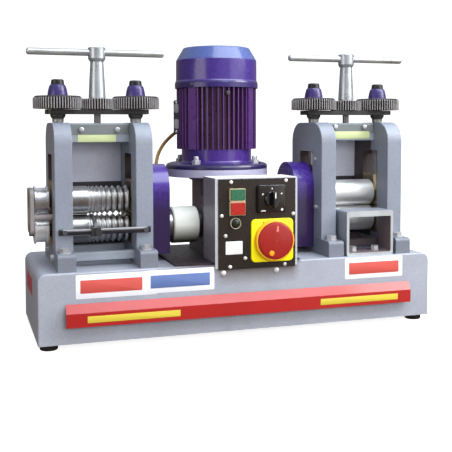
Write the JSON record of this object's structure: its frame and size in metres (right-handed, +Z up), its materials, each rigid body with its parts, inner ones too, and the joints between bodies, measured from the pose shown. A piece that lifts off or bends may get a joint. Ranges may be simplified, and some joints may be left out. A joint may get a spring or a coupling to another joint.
{
  "type": "jewellers rolling mill",
  "caption": "Bench rolling mill for jewellery metal: a top motor and gearbox drive grooved and plain roll pairs, with T-handle screw-down, switch box and red stop bar.",
  "frame": {"origin": "centre of the four fixing holes, on the plane the feet stand on", "axes": "+X along the base from the grooved rolls to the plain rolls, +Y from the switch panel to the back, +Z up"},
  "size_m": [0.731, 0.327, 0.518],
  "materials": {
    "frame_paint": "satin blue-grey enamel",
    "light_paint": "satin light grey enamel",
    "blue_paint": "gloss violet-blue enamel",
    "bar_red": "gloss red enamel",
    "floor_steel": "plain galvanised",
    "foot_rubber": "matt moulded",
    "bearing_bronze": "machined bronze",
    "worm_bronze": "machined bronze",
    "zinc_steel": "bright zinc plated",
    "case_aluminium": "cast, painted grey",
    "lead_pvc": "plain sheath",
    "black_plastic": "moulded",
    "panel_black": "smooth black",
    "fitting_plastic": "moulded",
    "dark_steel": "oiled, ground",
    "black_steel": "blackened",
    "plate_steel": "ground",
    "rotor_steel": "turned",
    "screw_steel": "turned, blue cap on top",
    "bright_steel": "polished",
    "roll_steel": "hardened, ground and polished",
    "cream_nylon": "turned nylon",
    "button_green": "moulded",
    "button_red": "moulded",
    "knob_red": "moulded"
  },
  "bodies": {
    "frame": {"base_floor_plate": "floor_steel", "base_housing": "frame_paint", "cable_glands": "black_plastic", "control_box": "light_paint", "control_panel": "panel_black", "cross_ties": "frame_paint", "fasteners": "zinc_steel", "feed_table": "frame_paint", "gear_covers": "blue_paint", "gearbox_housing": "case_aluminium", "guide_rail": "dark_steel", "left_stand_uprights": "frame_paint", "lower_bearings": "bearing_bronze", "motor_fan_cover": "blue_paint", "motor_housing": "blue_paint", "motor_lead": "lead_pvc", "panel_fittings": "fitting_plastic", "rear_guards": "frame_paint", "right_stand_uprights": "frame_paint", "rubber_feet": "foot_rubber", "side_roll_bracket": "frame_paint", "terminal_box": "blue_paint"},
    "drive_line": {"output_shaft": "dark_steel", "worm_wheel": "worm_bronze", "coupling_sleeves": "cream_nylon", "left_lower_roll": "roll_steel", "right_lower_roll": "roll_steel", "lower_drive_pinions": "dark_steel", "lower_side_roll": "roll_steel"},
    "motor_line": {"motor_rotor": "rotor_steel", "worm_shaft": "dark_steel"},
    "left_top_roll": {"left_upper_roll": "roll_steel", "left_upper_pinion": "dark_steel", "upper_side_roll": "roll_steel"},
    "right_top_roll": {"right_upper_roll": "roll_steel", "right_upper_pinion": "dark_steel"},
    "start_push": {"start_button": "button_green"},
    "stop_push": {"stop_button": "button_red"},
    "selector": {"selector_knob": "panel_black"},
    "isolator": {"isolator_knob": "knob_red"},
    "safety_bar": {"stop_bar": "bar_red"},
    "finger": {"guide_finger": "dark_steel"},
    "left_carriage": {"left_gear_plate": "plate_steel", "left_upper_bearings": "bearing_bronze"},
    "left_handle": {"left_handle_post": "bright_steel", "left_handle_bar": "bright_steel", "left_centre_pinion": "black_steel"},
    "left_screw_a": {"left_adjusting_screw_a": "screw_steel", "left_screw_gear_a": "black_steel"},
    "left_screw_b": {"left_adjusting_screw_b": "screw_steel", "left_screw_gear_b": "black_steel"},
    "right_carriage": {"right_gear_plate": "plate_steel", "right_upper_bearings": "bearing_bronze"},
    "right_handle": {"right_handle_post": "bright_steel", "right_handle_bar": "bright_steel", "right_centre_pinion": "black_steel"},
    "right_screw_a": {"right_adjusting_screw_a": "screw_steel", "right_screw_gear_a": "black_steel"},
    "right_screw_b": {"right_adjusting_screw_b": "screw_steel", "right_screw_gear_b": "black_steel"}
  },
  "joints": [
    {"name": "drive_spin", "type": "hinge", "parent": "frame", "child": "drive_line", "pos_m": [0, -0.008, 0.1875], "axis": [1, 0, 0], "continuous": true},
    {"name": "motor_spin", "type": "hinge", "parent": "frame", "child": "motor_line", "pos_m": [-0.0025, 0.055, 0.3], "axis": [0, 0, 1], "continuous": true},
    {"name": "start_press", "type": "slide", "parent": "frame", "child": "start_push", "axis": [0, 1, 0], "range_m": [0, 0.003], "stiffness_N_per_m": 400, "springref_m": -0.001},
    {"name": "stop_press", "type": "slide", "parent": "frame", "child": "stop_push", "axis": [0, 1, 0], "range_m": [0, 0.003], "stiffness_N_per_m": 400, "springref_m": -0.001},
    {"name": "selector_turn", "type": "hinge", "parent": "frame", "child": "selector", "pos_m": [0.0413, -0.13, 0.2403], "axis": [0, 1, 0], "range_deg": [-45, 45]},
    {"name": "isolator_turn", "type": "hinge", "parent": "frame", "child": "isolator", "pos_m": [0.0445, -0.14, 0.168], "axis": [0, 1, 0], "range_deg": [0, 90]},
    {"name": "stop_bar_press", "type": "slide", "parent": "frame", "child": "safety_bar", "axis": [0, 1, 0], "range_m": [0, 0.004], "stiffness_N_per_m": 500, "springref_m": -0.004},
    {"name": "finger_slide", "type": "slide", "parent": "frame", "child": "finger", "axis": [1, 0, 0], "range_m": [-0.028, 0.062]},
    {"name": "left_lift", "type": "slide", "parent": "frame", "child": "left_carriage", "axis": [0, 0, 1], "range_m": [0, 0.00538]},
    {"name": "left_handle_turn", "type": "hinge", "parent": "left_carriage", "child": "left_handle", "pos_m": [-0.244, -0.008, 0.41], "axis": [0, 0, -1], "range_deg": [0, 720]},
    {"name": "left_screw_a_turn", "type": "hinge", "parent": "left_carriage", "child": "left_screw_a", "pos_m": [-0.313, -0.008, 0.41], "axis": [0, 0, 1], "range_deg": [0, 484.46]},
    {"name": "left_screw_b_turn", "type": "hinge", "parent": "left_carriage", "child": "left_screw_b", "pos_m": [-0.175, -0.008, 0.41], "axis": [0, 0, 1], "range_deg": [0, 484.46]},
    {"name": "left_top_roll_spin", "type": "hinge", "parent": "left_carriage", "child": "left_top_roll", "pos_m": [-0.244, -0.008, 0.238], "axis": [1, 0, 0], "continuous": true},
    {"name": "right_lift", "type": "slide", "parent": "frame", "child": "right_carriage", "axis": [0, 0, 1], "range_m": [0, 0.00538]},
    {"name": "right_handle_turn", "type": "hinge", "parent": "right_carriage", "child": "right_handle", "pos_m": [0.244, -0.008, 0.41], "axis": [0, 0, -1], "range_deg": [0, 720]},
    {"name": "right_screw_a_turn", "type": "hinge", "parent": "right_carriage", "child": "right_screw_a", "pos_m": [0.175, -0.008, 0.41], "axis": [0, 0, 1], "range_deg": [0, 484.46]},
    {"name": "right_screw_b_turn", "type": "hinge", "parent": "right_carriage", "child": "right_screw_b", "pos_m": [0.313, -0.008, 0.41], "axis": [0, 0, 1], "range_deg": [0, 484.46]},
    {"name": "right_top_roll_spin", "type": "hinge", "parent": "right_carriage", "child": "right_top_roll", "pos_m": [0.244, -0.008, 0.238], "axis": [1, 0, 0], "continuous": true}
  ],
  "couplings": [
    {"joint": "motor_spin", "follows": "drive_spin", "ratio": 30},
    {"joint": "left_handle_turn", "follows": "left_lift", "rad_per_m": 2335},
    {"joint": "left_screw_a_turn", "follows": "left_lift", "rad_per_m": 1570.8},
    {"joint": "left_screw_b_turn", "follows": "left_lift", "rad_per_m": 1570.8},
    {"joint": "left_top_roll_spin", "follows": "drive_spin", "ratio": -1},
    {"joint": "right_handle_turn", "follows": "right_lift", "rad_per_m": 2335},
    {"joint": "right_screw_a_turn", "follows": "right_lift", "rad_per_m": 1570.8},
    {"joint": "right_screw_b_turn", "follows": "right_lift", "rad_per_m": 1570.8},
    {"joint": "right_top_roll_spin", "follows": "drive_spin", "ratio": -1}
  ]
}
